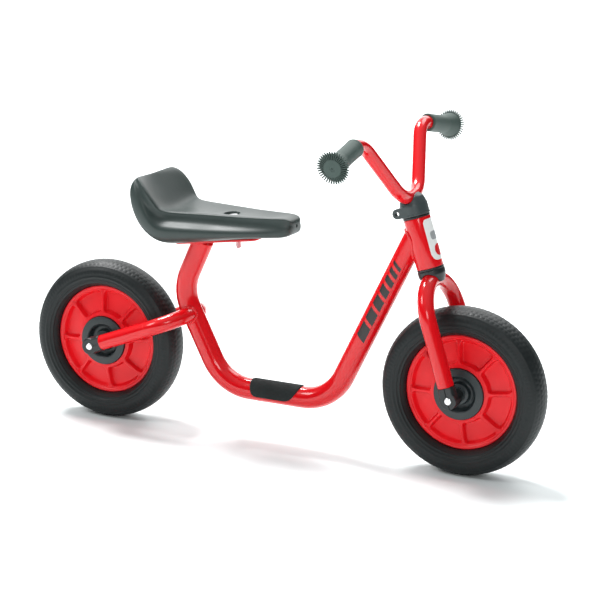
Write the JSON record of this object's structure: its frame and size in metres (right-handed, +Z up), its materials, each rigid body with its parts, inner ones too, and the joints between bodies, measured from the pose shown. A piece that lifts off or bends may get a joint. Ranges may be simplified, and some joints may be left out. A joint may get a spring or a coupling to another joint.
{
  "type": "balance bike",
  "caption": "Child's balance bike: bent steel step-through frame, moulded saddle, turning fork with V handlebar, ribbed wheels with solid tyres, no pedals.",
  "frame": {"origin": "on the ground, midway between the two axles, on the centre plane", "axes": "+X forward, +Y to the rider's left, +Z up"},
  "size_m": [0.762, 0.3998, 0.4528],
  "materials": {
    "red_paint": "glossy powder coat",
    "red_plastic": "moulded, satin",
    "seat_plastic": "moulded, semi-gloss dark grey",
    "grey_plastic": "moulded, semi-gloss dark grey",
    "black_plastic": "moulded, near black",
    "grip_rubber": "moulded soft plastic",
    "grip_pad": "coarse anti-slip grit",
    "tyre": "black solid rubber",
    "zinc_steel": "zinc plated"
  },
  "bodies": {
    "frame": {"main_tube": "red_paint", "head_tube": "red_paint", "rear_stay_left": "red_paint", "rear_stay_right": "red_paint", "seat_plate": "red_paint", "seat": "seat_plastic", "seat_bolt": "zinc_steel", "seat_washer": "zinc_steel", "seat_nut": "zinc_steel", "foot_pad": "grip_pad", "upper_bush": "black_plastic", "lower_bush": "black_plastic", "rear_axle": "zinc_steel", "rear_bearing_spacer": "zinc_steel", "rear_knuckle_left": "black_plastic", "rear_knuckle_right": "black_plastic", "rear_axle_nut_left": "zinc_steel", "rear_axle_nut_right": "zinc_steel", "rear_spacer_left": "zinc_steel", "rear_spacer_right": "zinc_steel"},
    "steering": {"fork": "red_paint", "steerer": "red_paint", "handlebar": "red_paint", "stem": "red_paint", "stem_pin": "zinc_steel", "collar": "grey_plastic", "lower_cup": "grey_plastic", "grip_left": "grip_rubber", "grip_right": "grip_rubber", "front_axle": "zinc_steel", "front_bearing_spacer": "zinc_steel", "front_knuckle_left": "black_plastic", "front_knuckle_right": "black_plastic", "front_axle_nut_left": "zinc_steel", "front_axle_nut_right": "zinc_steel", "front_spacer_left": "zinc_steel", "front_spacer_right": "zinc_steel"},
    "front_wheel": {"front_tyre": "tyre", "front_rim": "red_plastic", "front_hub_cap_left": "black_plastic", "front_hub_cap_right": "black_plastic", "front_bearing_left": "zinc_steel", "front_bearing_right": "zinc_steel"},
    "rear_wheel": {"rear_tyre": "tyre", "rear_rim": "red_plastic", "rear_hub_cap_left": "black_plastic", "rear_hub_cap_right": "black_plastic", "rear_bearing_left": "zinc_steel", "rear_bearing_right": "zinc_steel"}
  },
  "joints": [
    {"name": "steering_turn", "type": "hinge", "parent": "frame", "child": "steering", "pos_m": [0.268, 0, 0.113], "axis": [-0.3173, 0, 0.9483], "continuous": true},
    {"name": "front_wheel_spin", "type": "hinge", "parent": "steering", "child": "front_wheel", "pos_m": [0.268, 0, 0.113], "axis": [0, 1, 0], "continuous": true},
    {"name": "rear_wheel_spin", "type": "hinge", "parent": "frame", "child": "rear_wheel", "pos_m": [-0.268, 0, 0.113], "axis": [0, 1, 0], "continuous": true}
  ]
}
